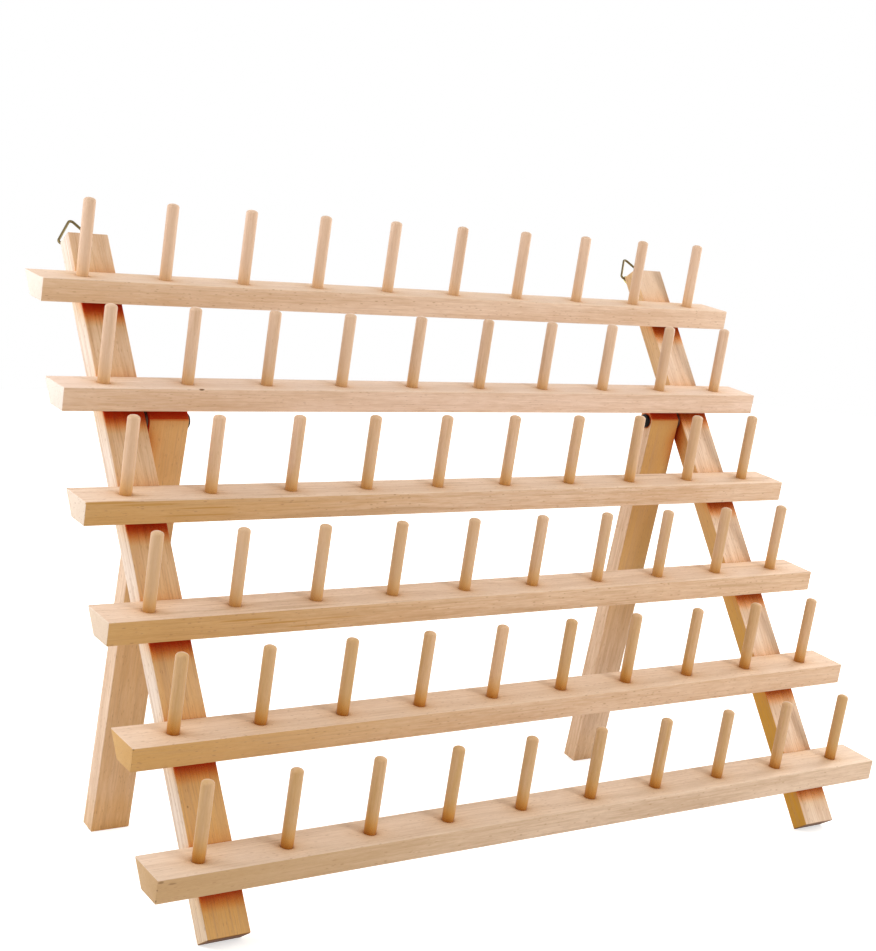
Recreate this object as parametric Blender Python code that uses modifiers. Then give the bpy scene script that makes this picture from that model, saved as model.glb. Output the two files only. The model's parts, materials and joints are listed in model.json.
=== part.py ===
"""Folding thread rack: six rails of spool pegs on two leaning legs, with two folding rear legs.

X runs along the rails, +Y points to the back of the rack and +Z up. The rack stands on Z = 0 and the
origin is the bottom centre of its bounding box. All lengths are metres.
"""

import math

import bmesh
import bpy
from mathutils import Matrix, Vector

# Pegs and rails
ROW_COUNT = 6
PEGS_PER_ROW = 10
PEG_PITCH = 0.0400
PEG_DIAMETER = 0.0055
PEG_HEIGHT = 0.0345
PEG_SETBACK = 0.0113
RAIL_END_MARGIN = 0.0220
RAIL_WIDTH = 0.0212
RAIL_THICKNESS = 0.0102
FIRST_ROW_ALONG = 0.0240
PEG_LEAN = math.radians(9.8)

# Legs
FRONT_LEG_LENGTH = 0.3157
LEG_WIDTH = 0.0195
LEG_THICKNESS = 0.0096
LEG_INSET = 0.0237
LEG_TOP_MARGIN = 0.0200
FRONT_LEAN = math.radians(29.5)
REAR_LEAN = math.radians(13.4)
ARRIS = 0.0004

# Pivot of each rear leg
PIVOT_DROP = 0.0057
PIVOT_RAIL_INDEX = 1
WASHER_THICKNESS = 0.0010
WASHER_DIAMETER = 0.0090
PIVOT_SHANK_DIAMETER = 0.0040
PIVOT_HEAD_DIAMETER = 0.0074
PIVOT_HEAD_HEIGHT = 0.0016
PIVOT_BITE = 0.0145

# Countersunk screws that hold the rails
RAIL_SCREW_DIAMETER = 0.0030
RAIL_SCREW_HEAD_DIAMETER = 0.0056
RAIL_SCREW_HEAD_HEIGHT = 0.0018
RAIL_SCREW_BITE = 0.0065
RAIL_SCREW_RISE = 0.0045

# Hangers: strap, wire ring and screw
STRAP_WIDTH = 0.0151
STRAP_THICKNESS = 0.0011
STRAP_EYE_WALL = 0.00055
STRAP_EYE_RISE = 0.0003
STRAP_TAPER = 0.0045
STRAP_SCREW_DROP = 0.0108
RING_WIRE_DIAMETER = 0.0013
RING_HALF_WIDTH = 0.0105
RING_HEIGHT = 0.0155
RING_CORNER_RADIUS = 0.0016
RING_APEX_RADIUS = 0.0015
RING_LEAN = math.radians(13.0)
HANGER_SCREW_DIAMETER = 0.0025
HANGER_SCREW_LENGTH = 0.0080
HANGER_HEAD_DIAMETER = 0.0055
HANGER_HEAD_HEIGHT = 0.0018

# Clearances, cutters and cross recesses
GAP = 0.0003
TIP_GAP = 0.0010
OVERRUN = 0.0010
RECESS_DEPTH_SHARE = 0.60
RECESS_REACH_SHARE = 0.30
RECESS_SLOT_SHARE = 0.075
TIP_LENGTH_SHARE = 0.90
PAN_HEAD_SHARES = ((0.0, 0.0), (0.55, 0.08), (0.88, 0.35), (1.0, 0.75), (1.0, 1.0))
DOME_SHARE = 0.55

# Facets of round forms
PEG_SIDES = 12
DOME_RINGS = 2
SCREW_SIDES = 16
EYE_POINTS = 16
STRAP_ARC_POINTS = 12
RING_ARC_POINTS = 5
SMOOTH_ANGLE = math.radians(35)
MERGE = 0.00001

# Sizes that follow
RAIL_LENGTH = (PEGS_PER_ROW - 1) * PEG_PITCH + 2 * RAIL_END_MARGIN
RAIL_BEVEL = FRONT_LEAN + PEG_LEAN
RAIL_BACK_HEIGHT = RAIL_THICKNESS / math.cos(RAIL_BEVEL)
ROWS_SPAN = FRONT_LEG_LENGTH - FIRST_ROW_ALONG - RAIL_BACK_HEIGHT - LEG_TOP_MARGIN
ROW_SPACING = ROWS_SPAN / (ROW_COUNT - 1)
FRONT_LEG_X = RAIL_LENGTH / 2 - LEG_INSET - LEG_WIDTH / 2
REAR_LEG_X = FRONT_LEG_X - LEG_WIDTH - WASHER_THICKNESS - 2 * GAP
FOLD_ANGLE = FRONT_LEAN + REAR_LEAN
PIVOT_ALONG = FIRST_ROW_ALONG + (ROW_COUNT - 1 - PIVOT_RAIL_INDEX) * ROW_SPACING - PIVOT_DROP
PIVOT_DEPTH = LEG_THICKNESS / 2
PIVOT_REACH = LEG_WIDTH + WASHER_THICKNESS + PIVOT_BITE + 3 * GAP
EYE_INNER_RADIUS = RING_WIRE_DIAMETER / 2 + GAP
EYE_OUTER_RADIUS = EYE_INNER_RADIUS + STRAP_EYE_WALL
EYE_BACK = GAP + EYE_OUTER_RADIUS
EYE_ALONG = FRONT_LEG_LENGTH + STRAP_EYE_RISE
FOOT_SINK = ARRIS * math.sin(FRONT_LEAN)

SIDES = {"left": -1, "right": 1}


def along_leg(along, back):
    """Y and Z, before centring, of a point up the front legs and behind their back face."""
    y = along * math.sin(FRONT_LEAN) + back * math.cos(FRONT_LEAN)
    z = along * math.cos(FRONT_LEAN) - back * math.sin(FRONT_LEAN)
    return y, z


def rail_top_back(row):
    """Distance up the leg of the top-back edge of a rail; row 0 is the top one."""
    return FIRST_ROW_ALONG + (ROW_COUNT - 1 - row) * ROW_SPACING + RAIL_BACK_HEIGHT


def depth_centre():
    """Y of the middle of the rack's depth, from the lowest rail's eased front edge to the rings' tops."""
    front = along_leg(rail_top_back(ROW_COUNT - 1), -LEG_THICKNESS - GAP)[0]
    front += ARRIS * math.sin(PEG_LEAN) - RAIL_WIDTH * math.cos(PEG_LEAN)
    apex_drop = RING_APEX_RADIUS / math.sin(math.atan(RING_HALF_WIDTH / RING_HEIGHT)) - RING_APEX_RADIUS
    reach = RING_HEIGHT - apex_drop
    ring_back = along_leg(EYE_ALONG, EYE_BACK)[0] + reach * math.sin(FRONT_LEAN + RING_LEAN)
    ring_back += RING_WIRE_DIAMETER / 2
    foot_back = rear_foot_back()
    return (front + max(ring_back, foot_back)) / 2


def rear_leg_below_pivot():
    """Length of a rear leg's front face from the level of its pivot down to its foot, eased on the floor."""
    pivot_height = along_leg(PIVOT_ALONG, -PIVOT_DEPTH)[1] - FOOT_SINK
    foot_height = (PIVOT_DEPTH - ARRIS) * math.sin(REAR_LEAN)
    return (pivot_height - foot_height) / math.cos(REAR_LEAN)


def rear_foot_back():
    """Y, before centring, of the back corner of a rear leg's foot."""
    pivot_y = along_leg(PIVOT_ALONG, -PIVOT_DEPTH)[0]
    down = rear_leg_below_pivot() * math.sin(REAR_LEAN)
    return pivot_y + down + (LEG_THICKNESS - PIVOT_DEPTH) * math.cos(REAR_LEAN)


# Scene, collections and finishes

def clear_scene():
    """Remove the scene's objects."""
    for old in list(bpy.data.objects):
        bpy.data.objects.remove(old, do_unlink=True)


def new_collection(name):
    """Make a collection under the scene's own."""
    made = bpy.data.collections.new(name)
    bpy.context.scene.collection.children.link(made)
    return made


FINISHES = {
    "beech": ((0.80, 0.62, 0.46, 1.0), 0.55, 0.0),
    "brass": ((0.78, 0.66, 0.32, 1.0), 0.22, 1.0),
    "bright_steel": ((0.62, 0.62, 0.64, 1.0), 0.28, 1.0),
    "black_steel": ((0.02, 0.02, 0.022, 1.0), 0.45, 1.0),
}


def give_finish(piece, finish):
    """Give a piece its own material from one of the finishes."""
    colour, roughness, metallic = FINISHES[finish]
    material = bpy.data.materials.new(piece.name + "_" + finish)
    material.use_nodes = True
    shader = material.node_tree.nodes["Principled BSDF"]
    shader.inputs["Base Color"].default_value = colour
    shader.inputs["Roughness"].default_value = roughness
    shader.inputs["Metallic"].default_value = metallic
    material.diffuse_color = colour
    if not piece.data.materials:
        piece.data.materials.append(None)
    piece.material_slots[0].link = "OBJECT"
    piece.material_slots[0].material = material


# Modelling helpers

def add_object(name, data, place, parent=None):
    """Link a new object for some data into a collection."""
    made = bpy.data.objects.new(name, data)
    place.objects.link(made)
    made.parent = parent
    return made


def add_empty(name, place, parent=None):
    """An empty that carries other objects."""
    made = add_object(name, None, place, parent)
    made.empty_display_size = LEG_WIDTH
    return made


def hide_guide(guide):
    """Mark an object as a cutter that isn't part of the rack."""
    guide.hide_render = True
    guide.display_type = "WIRE"
    return guide


def evaluated_mesh(source):
    """A new mesh with the modifiers and curve of an object applied, its loose caps welded."""
    graph = bpy.context.evaluated_depsgraph_get()
    mesh = bpy.data.meshes.new_from_object(source.evaluated_get(graph))
    shape = bmesh.new()
    shape.from_mesh(mesh)
    bmesh.ops.remove_doubles(shape, verts=shape.verts, dist=MERGE)
    shape.to_mesh(mesh)
    shape.free()
    return mesh


def remove_object(old):
    """Delete a helper object."""
    bpy.data.objects.remove(old, do_unlink=True)


def prism_mesh(name, outlines, half_depth):
    """Mesh of flat outlines in Y and Z, drawn out to both sides along X."""
    curve = bpy.data.curves.new(name, "CURVE")
    curve.dimensions = "2D"
    curve.fill_mode = "BOTH"
    curve.extrude = half_depth
    for outline in outlines:
        spline = curve.splines.new("POLY")
        spline.points.add(len(outline) - 1)
        spline.use_cyclic_u = True
        for point, (across, up) in zip(spline.points, outline):
            point.co = Vector((across, up, 0.0)).to_4d()
    helper = add_object(name, curve, bpy.context.scene.collection)
    mesh = evaluated_mesh(helper)
    mesh.transform(Matrix(((0, 0, 1, 0), (1, 0, 0, 0), (0, 1, 0, 0), (0, 0, 0, 1))))
    remove_object(helper)
    return mesh


def turned_mesh(name, profile, sides):
    """Mesh of a profile of (radius, height) points, top to bottom, turned about Z."""
    line = bpy.data.meshes.new(name)
    points = [(radius, 0.0, height) for radius, height in profile]
    line.from_pydata(points, [(i, i + 1) for i in range(len(points) - 1)], [])
    helper = add_object(name, line, bpy.context.scene.collection)
    spin = helper.modifiers.new("turn", "SCREW")
    spin.steps = sides
    spin.render_steps = sides
    spin.use_merge_vertices = True
    spin.merge_threshold = MERGE
    mesh = evaluated_mesh(helper)
    remove_object(helper)
    mesh.shade_smooth()
    mesh.set_sharp_from_angle(angle=SMOOTH_ANGLE)
    return mesh


def box_object(name, size, centre, place, parent=None):
    """A box of the given size whose centre lies at the given point of its own frame."""
    bpy.ops.mesh.primitive_cube_add(size=1.0)
    box = bpy.context.active_object
    box.data.transform(Matrix.Translation(centre) @ Matrix.Diagonal((*size, 1.0)))
    for holder in box.users_collection:
        holder.objects.unlink(box)
    place.objects.link(box)
    box.name = name
    box.data.name = name
    box.parent = parent
    return box


def ease_edges(piece):
    """Break the sharp edges of a wooden piece."""
    easing = piece.modifiers.new("arris", "BEVEL")
    easing.width = ARRIS
    easing.segments = 1
    easing.limit_method = "ANGLE"


def cut_away(piece, cutter):
    """Cut a piece with a guide object."""
    cutting = piece.modifiers.new("cut_" + cutter.name, "BOOLEAN")
    cutting.operation = "DIFFERENCE"
    cutting.solver = "EXACT"
    cutting.object = cutter


def cross_outline(reach, half_slot):
    """Outline of a cross with four equal arms."""
    points = []
    for quarter in range(4):
        turn = Matrix.Rotation(quarter * math.pi / 2, 2)
        for corner in ((reach, -half_slot), (reach, half_slot), (half_slot, half_slot)):
            points.append(tuple(turn @ Vector(corner)))
    return points


def recessed_screw_mesh(name, profile, head_diameter, head_height):
    """Mesh of a turned screw, its head's top at Z = 0, with a cross recess cut in the head."""
    body = add_object(name, turned_mesh(name, profile, SCREW_SIDES), bpy.context.scene.collection)
    depth = head_height * RECESS_DEPTH_SHARE
    reach = head_diameter * RECESS_REACH_SHARE
    cross = cross_outline(reach, head_diameter * RECESS_SLOT_SHARE)
    cross_mesh = prism_mesh(name + "_recess", [cross], depth)
    cross_mesh.transform(Matrix.Rotation(-math.pi / 2, 4, "Y"))
    cutter = add_object(name + "_recess", cross_mesh, bpy.context.scene.collection)
    cut_away(body, cutter)
    mesh = evaluated_mesh(body)
    remove_object(cutter)
    remove_object(body)
    mesh.shade_smooth()
    mesh.set_sharp_from_angle(angle=SMOOTH_ANGLE)
    return mesh


def shank_profile(radius, length, start):
    """Lower part of a screw's profile: a straight shank from start down to a pointed tip."""
    tip = 2 * radius * TIP_LENGTH_SHARE
    return [(radius, start), (radius, tip - length), (0.0, -length)]


def pan_profile(head_diameter, head_height, shank_diameter, length):
    """Profile of a pan-head screw whose head's seat is at Z = -head_height."""
    head = [(head_diameter / 2 * out, -head_height * down) for out, down in PAN_HEAD_SHARES]
    return head + shank_profile(shank_diameter / 2, length + head_height, -head_height)


# Wooden pieces

def dowel_mesh():
    """Mesh of one peg: a dowel with a rounded top at its height, its foot half-way into the rail."""
    radius = PEG_DIAMETER / 2
    dome = radius * DOME_SHARE
    profile = [(0.0, PEG_HEIGHT)]
    for ring in range(1, DOME_RINGS + 1):
        turn = ring / DOME_RINGS * math.pi / 2
        profile.append((radius * math.sin(turn), PEG_HEIGHT - dome * (1 - math.cos(turn))))
    profile += [(radius, -RAIL_THICKNESS / 2), (0.0, -RAIL_THICKNESS / 2)]
    return turned_mesh("dowel", profile, PEG_SIDES)


def row_of_pegs_mesh(dowel):
    """Mesh of the pegs of one row, in the rail's frame."""
    row = bmesh.new()
    for count in range(PEGS_PER_ROW):
        x = (count - (PEGS_PER_ROW - 1) / 2) * PEG_PITCH
        before = len(row.verts)
        row.from_mesh(dowel)
        row.verts.ensure_lookup_table()
        shift = Vector((x, -PEG_SETBACK, 0.0))
        bmesh.ops.translate(row, verts=row.verts[before:], vec=shift)
    mesh = bpy.data.meshes.new("row_of_pegs")
    row.to_mesh(mesh)
    row.free()
    return mesh


def rail_mesh():
    """Mesh of a bare rail: its top-back edge is the X axis and its top face lies in Z = 0."""
    bottom_back = RAIL_THICKNESS * math.tan(RAIL_BEVEL)
    front = -RAIL_WIDTH
    outline = [(0.0, 0.0), (front, 0.0), (front, -RAIL_THICKNESS), (-bottom_back, -RAIL_THICKNESS)]
    return prism_mesh("rail", [outline], RAIL_LENGTH / 2)


def make_rails(rack, guides, frame):
    """Six rails with their glued pegs, row 1 at the top."""
    bare = rail_mesh()
    pegs = row_of_pegs_mesh(dowel_mesh())
    rails = []
    for row in range(ROW_COUNT):
        number = str(row + 1)
        rail = add_object("peg_rail_" + number, bare.copy(), rack, frame)
        rail.location = (0.0, -LEG_THICKNESS - GAP, rail_top_back(row))
        rail.rotation_euler.x = RAIL_BEVEL
        ease_edges(rail)
        dowels = hide_guide(add_object("pegs_of_rail_" + number, pegs, guides, rail))
        glue = rail.modifiers.new("glued_pegs", "BOOLEAN")
        glue.operation = "UNION"
        glue.solver = "EXACT"
        glue.object = dowels
        give_finish(rail, "beech")
        rails.append(rail)
    return rails


def make_front_leg(side, rack, frame):
    """One front leg, its back face in the frame's Y = 0 plane."""
    size = (LEG_WIDTH, LEG_THICKNESS, FRONT_LEG_LENGTH)
    centre = (0.0, -LEG_THICKNESS / 2, FRONT_LEG_LENGTH / 2)
    leg = box_object(side + "_front_leg", size, centre, rack, frame)
    leg.location.x = SIDES[side] * FRONT_LEG_X
    ease_edges(leg)
    give_finish(leg, "beech")
    return leg


def make_rear_leg(side, rack, frame):
    """One rear leg on its pivot; its mitred top end lies behind the second rail as the open stop."""
    hinge = add_empty(side + "_rear_leg_pivot", rack, frame)
    hinge.location = (SIDES[side] * REAR_LEG_X, -PIVOT_DEPTH, PIVOT_ALONG)
    hinge.rotation_euler.x = FOLD_ANGLE
    front = -PIVOT_DEPTH
    back = LEG_THICKNESS - PIVOT_DEPTH
    foot = -rear_leg_below_pivot()
    mitre_front = (PIVOT_DEPTH + front * math.cos(FOLD_ANGLE)) / math.sin(FOLD_ANGLE)
    mitre_back = (PIVOT_DEPTH + back * math.cos(FOLD_ANGLE)) / math.sin(FOLD_ANGLE)
    outline = [(front, foot), (back, foot), (back, mitre_back), (front, mitre_front)]
    mesh = prism_mesh(side + "_rear_leg", [outline], LEG_WIDTH / 2)
    leg = add_object(side + "_rear_leg", mesh, rack, hinge)
    ease_edges(leg)
    give_finish(leg, "beech")
    return leg


# Fasteners

def drill(name, diameter, depth, guides, parent, location, rotation):
    """A drill-shaped cutter that starts one overrun above its own origin and runs down its Z axis."""
    radius = diameter / 2
    profile = [(0.0, OVERRUN), (radius, OVERRUN), (radius, -depth), (0.0, -depth)]
    cutter = hide_guide(add_object(name, turned_mesh(name, profile, SCREW_SIDES), guides, parent))
    cutter.location = location
    cutter.rotation_euler = rotation
    return cutter


def rail_screw_profile():
    """Profile of a countersunk screw with its head's top at Z = 0."""
    head = RAIL_SCREW_HEAD_DIAMETER / 2
    length = LEG_THICKNESS + RAIL_SCREW_BITE
    top = [(0.0, 0.0), (head, 0.0)]
    return top + shank_profile(RAIL_SCREW_DIAMETER / 2, length, -RAIL_SCREW_HEAD_HEIGHT)


def countersink(name, guides, frame, location, rotation):
    """A cutter for one rail screw: head cone and clearance hole, through the leg and into the rail."""
    head = RAIL_SCREW_HEAD_DIAMETER / 2 + GAP
    shank = RAIL_SCREW_DIAMETER / 2 + GAP
    bottom = -(LEG_THICKNESS + RAIL_SCREW_BITE + TIP_GAP)
    cone_foot = -RAIL_SCREW_HEAD_HEIGHT - GAP
    profile = [(0.0, OVERRUN), (head, OVERRUN), (head, -GAP), (shank, cone_foot)]
    profile += [(shank, bottom), (0.0, bottom)]
    cutter = hide_guide(add_object(name, turned_mesh(name, profile, SCREW_SIDES), guides, frame))
    cutter.location = location
    cutter.rotation_euler = rotation
    return cutter


def make_rail_screws(rack, guides, frame, legs, rails):
    """Two countersunk screws for each rail, driven from behind through the front legs."""
    mesh = recessed_screw_mesh(
        "rail_screw", rail_screw_profile(), RAIL_SCREW_HEAD_DIAMETER, RAIL_SCREW_HEAD_HEIGHT
    )
    facing_back = (-math.pi / 2, 0.0, 0.0)
    for row, rail in enumerate(rails):
        along = rail_top_back(row) - RAIL_BACK_HEIGHT + RAIL_SCREW_RISE
        for side, sign in SIDES.items():
            name = side + "_rail_screw_" + str(row + 1)
            place = Vector((sign * FRONT_LEG_X, 0.0, along))
            cutter = countersink(name + "_hole", guides, frame, place, facing_back)
            cut_away(legs[side], cutter)
            cut_away(rail, cutter)
            screw = add_object(name, mesh, rack, frame)
            screw.location = place
            screw.rotation_euler = facing_back
            give_finish(screw, "bright_steel")


def make_pivot(side, rack, guides, frame, front_leg, rear_leg):
    """The black screw that a rear leg turns on, and the washer between the two legs."""
    sign = SIDES[side]
    inner_face = REAR_LEG_X - LEG_WIDTH / 2 - GAP
    facing_in = (0.0, -sign * math.pi / 2, 0.0)
    seat = Vector((sign * inner_face, -PIVOT_DEPTH, PIVOT_ALONG))
    length = PIVOT_REACH
    hole = PIVOT_SHANK_DIAMETER + 2 * GAP
    name = side + "_pivot_hole"
    cutter = drill(name, hole, length + TIP_GAP, guides, frame, seat, facing_in)
    cut_away(front_leg, cutter)
    cut_away(rear_leg, cutter)
    profile = pan_profile(PIVOT_HEAD_DIAMETER, PIVOT_HEAD_HEIGHT, PIVOT_SHANK_DIAMETER, length)
    screw_mesh = recessed_screw_mesh(side + "_pivot_screw", profile, PIVOT_HEAD_DIAMETER, PIVOT_HEAD_HEIGHT)
    screw = add_object(side + "_pivot_screw", screw_mesh, rack, frame)
    screw.location = seat - Vector((sign * PIVOT_HEAD_HEIGHT, 0.0, 0.0))
    screw.rotation_euler = facing_in
    give_finish(screw, "black_steel")
    inner = PIVOT_SHANK_DIAMETER / 2 + GAP
    outer = WASHER_DIAMETER / 2
    ring = [(inner, 0.0), (outer, 0.0), (outer, -WASHER_THICKNESS), (inner, -WASHER_THICKNESS), (inner, 0.0)]
    washer_mesh = turned_mesh(side + "_pivot_washer", ring, SCREW_SIDES)
    washer = add_object(side + "_pivot_washer", washer_mesh, rack, frame)
    washer.location = seat + Vector((sign * (LEG_WIDTH + 2 * GAP), 0.0, 0.0))
    washer.rotation_euler = facing_in
    give_finish(washer, "black_steel")


# Hangers

def arc_points(centre, radius, start, stop, count):
    """Points of an arc about a centre, both ends included."""
    turns = [start + (stop - start) * step / (count - 1) for step in range(count)]
    return [(centre[0] + radius * math.cos(t), centre[1] + radius * math.sin(t)) for t in turns]


def strap_profile():
    """Side outlines of a strap about its eye: the folded sheet, its outer leaf slanting in below the eye
    until the leaves meet, and the bore that the ring turns in."""
    back = -EYE_OUTER_RADIUS
    face = back + STRAP_THICKNESS
    foot = -STRAP_SCREW_DROP - STRAP_WIDTH / 2
    slant = math.acos(EYE_OUTER_RADIUS / math.hypot(face, STRAP_TAPER))
    meet = math.atan2(-STRAP_TAPER, face) + slant
    outer = [(back, foot), (face, foot), (face, -STRAP_TAPER)]
    outer += arc_points((0.0, 0.0), EYE_OUTER_RADIUS, meet, math.pi, EYE_POINTS)
    step = 2 * math.pi / EYE_POINTS
    turns = [step * count for count in range(EYE_POINTS)]
    bore = [(EYE_INNER_RADIUS * math.cos(t), EYE_INNER_RADIUS * math.sin(t)) for t in turns]
    return [outer, bore]


def strap_face_outline():
    """Face outline of a strap in X and Z about its eye: straight sides and a half-round foot."""
    half = STRAP_WIDTH / 2
    foot = arc_points((0.0, -STRAP_SCREW_DROP), half, math.pi, 2 * math.pi, STRAP_ARC_POINTS)
    top = EYE_OUTER_RADIUS + OVERRUN
    return foot + [(half, top), (-half, top)]


def make_strap(side, rack, guides, frame):
    """The folded brass strap on the back of a front leg's top."""
    name = side + "_hanger_strap"
    mesh = prism_mesh(name, strap_profile(), STRAP_WIDTH / 2 + OVERRUN)
    strap = add_object(name, mesh, rack, frame)
    strap.location = (SIDES[side] * FRONT_LEG_X, EYE_BACK, EYE_ALONG)
    shape = prism_mesh(name + "_shape", [strap_face_outline()], 2 * EYE_OUTER_RADIUS)
    shape.transform(Matrix.Rotation(math.pi / 2, 4, "Z"))
    shaper = hide_guide(add_object(name + "_shape", shape, guides, strap))
    trim = strap.modifiers.new("face_shape", "BOOLEAN")
    trim.operation = "INTERSECT"
    trim.solver = "EXACT"
    trim.object = shaper
    give_finish(strap, "brass")
    return strap


def ring_path():
    """Centre line of a ring in X and Z about its hinge: a triangle with rounded corners."""
    corner = math.atan2(RING_HEIGHT, RING_HALF_WIDTH)
    slide = RING_CORNER_RADIUS / math.tan(corner / 2)
    right_centre = (RING_HALF_WIDTH - slide, RING_CORNER_RADIUS)
    normal = math.pi / 2 - corner
    apex_centre = (0.0, RING_HEIGHT - RING_APEX_RADIUS / math.sin(math.pi / 2 - corner))
    right = arc_points(right_centre, RING_CORNER_RADIUS, -math.pi / 2, normal, RING_ARC_POINTS)
    apex = arc_points(apex_centre, RING_APEX_RADIUS, normal, math.pi - normal, RING_ARC_POINTS)
    left = [(-x, z) for x, z in reversed(right)]
    return right + apex + left


def make_ring(side, rack, frame):
    """The wire ring that hangs the rack, hinged in the eye of its strap."""
    hinge = add_empty(side + "_ring_hinge", rack, frame)
    hinge.location = (SIDES[side] * FRONT_LEG_X, EYE_BACK, EYE_ALONG)
    hinge.rotation_euler.x = -RING_LEAN
    curve = bpy.data.curves.new(side + "_hanger_ring", "CURVE")
    curve.dimensions = "3D"
    curve.bevel_depth = RING_WIRE_DIAMETER / 2
    curve.bevel_resolution = 2
    path = ring_path()
    spline = curve.splines.new("POLY")
    spline.points.add(len(path) - 1)
    spline.use_cyclic_u = True
    for point, (x, z) in zip(spline.points, path):
        point.co = Vector((x, 0.0, z)).to_4d()
    ring = add_object(side + "_hanger_ring", curve, rack, hinge)
    give_finish(ring, "brass")
    return ring


def make_hanger_screw(side, rack, guides, frame, front_leg, strap):
    """The pan-head screw that holds a strap, and its holes in the strap and the leg."""
    seat_back = GAP + STRAP_THICKNESS + GAP
    place = Vector((SIDES[side] * FRONT_LEG_X, seat_back, EYE_ALONG - STRAP_SCREW_DROP))
    facing_back = (-math.pi / 2, 0.0, 0.0)
    hole = HANGER_SCREW_DIAMETER + 2 * GAP
    depth = HANGER_SCREW_LENGTH + TIP_GAP
    cutter = drill(side + "_hanger_hole", hole, depth, guides, frame, place, facing_back)
    cut_away(strap, cutter)
    cut_away(front_leg, cutter)
    shank = (HANGER_SCREW_DIAMETER, HANGER_SCREW_LENGTH)
    profile = pan_profile(HANGER_HEAD_DIAMETER, HANGER_HEAD_HEIGHT, *shank)
    name = side + "_hanger_screw"
    mesh = recessed_screw_mesh(name, profile, HANGER_HEAD_DIAMETER, HANGER_HEAD_HEIGHT)
    screw = add_object(name, mesh, rack, frame)
    screw.location = place + Vector((0.0, HANGER_HEAD_HEIGHT, 0.0))
    screw.rotation_euler = facing_back
    give_finish(screw, "bright_steel")


def main():
    """Build the rack."""
    clear_scene()
    rack = new_collection("thread_rack")
    guides = new_collection("cutters")
    frame = add_empty("leaning_frame", rack)
    frame.location = (0.0, -depth_centre(), -FOOT_SINK)
    frame.rotation_euler.x = -FRONT_LEAN
    rails = make_rails(rack, guides, frame)
    legs = {side: make_front_leg(side, rack, frame) for side in SIDES}
    make_rail_screws(rack, guides, frame, legs, rails)
    for side in SIDES:
        rear_leg = make_rear_leg(side, rack, frame)
        make_pivot(side, rack, guides, frame, legs[side], rear_leg)
        strap = make_strap(side, rack, guides, frame)
        make_ring(side, rack, frame)
        make_hanger_screw(side, rack, guides, frame, legs[side], strap)


main()
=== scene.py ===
"""Looks of the folding thread rack: beech rails, pegs and legs, brass hangers and steel screws.

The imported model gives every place. Lengths are metres in its frame: X along the rails, +Y to the back
of the rack and +Z up, with the rack standing on Z = 0.
"""

import json
import logging
import math
import random
from dataclasses import dataclass, field, replace
from enum import Enum
from typing import Any, Iterable, Sequence

import bmesh
import bpy
from bmesh.types import BMEdge, BMVert
from mathutils import Matrix, Vector


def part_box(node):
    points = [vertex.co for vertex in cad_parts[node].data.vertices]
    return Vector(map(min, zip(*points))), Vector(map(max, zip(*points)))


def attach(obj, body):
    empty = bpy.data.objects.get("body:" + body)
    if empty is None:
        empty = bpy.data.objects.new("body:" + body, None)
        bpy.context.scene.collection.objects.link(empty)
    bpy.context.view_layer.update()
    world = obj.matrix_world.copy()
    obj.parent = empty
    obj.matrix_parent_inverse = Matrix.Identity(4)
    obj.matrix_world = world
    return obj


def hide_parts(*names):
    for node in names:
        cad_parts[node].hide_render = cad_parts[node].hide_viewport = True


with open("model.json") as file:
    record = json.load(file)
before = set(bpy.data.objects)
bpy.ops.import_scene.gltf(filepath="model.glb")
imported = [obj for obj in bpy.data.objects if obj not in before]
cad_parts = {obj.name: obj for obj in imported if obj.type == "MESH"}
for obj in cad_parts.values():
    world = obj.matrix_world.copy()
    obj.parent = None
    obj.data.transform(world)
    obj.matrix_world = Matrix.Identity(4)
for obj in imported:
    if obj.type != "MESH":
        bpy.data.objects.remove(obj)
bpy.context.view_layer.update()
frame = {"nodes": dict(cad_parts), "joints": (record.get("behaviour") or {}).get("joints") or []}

LOG = logging.getLogger("thread_rack")

FRONT_LEAN = math.radians(29.5)
REAR_LEAN = math.radians(13.4)
PEG_LEAN = math.radians(9.8)
LEG_THICKNESS = 0.0096
FACING_BACK = Matrix.Rotation(-math.pi / 2, 4, "X")
SMOOTH_ANGLE = math.radians(32)
WELD = 0.000005

Tone = tuple[float, float, float]
Triple = tuple[float, float, float]
Span = tuple[float, float]
Number = "Signal | float"

WHITE: Tone = (1.0, 1.0, 1.0)


class Side(Enum):
    """The two sides of the rack, each with the sign of its X."""

    LEFT = -1
    RIGHT = 1

    @property
    def label(self) -> str:
        """The word that its nodes' names start with."""
        return self.name.lower()


class Grain(Enum):
    """The axis of a piece's own frame that its wood grain follows."""

    ALONG_X = "x"
    ALONG_Z = "z"


class Slot(Enum):
    """The record's material slots."""

    BEECH = "beech"
    BRASS = "brass"
    ZINC = "zinc_steel"
    BLACK = "black_steel"


# Shader maths


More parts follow.
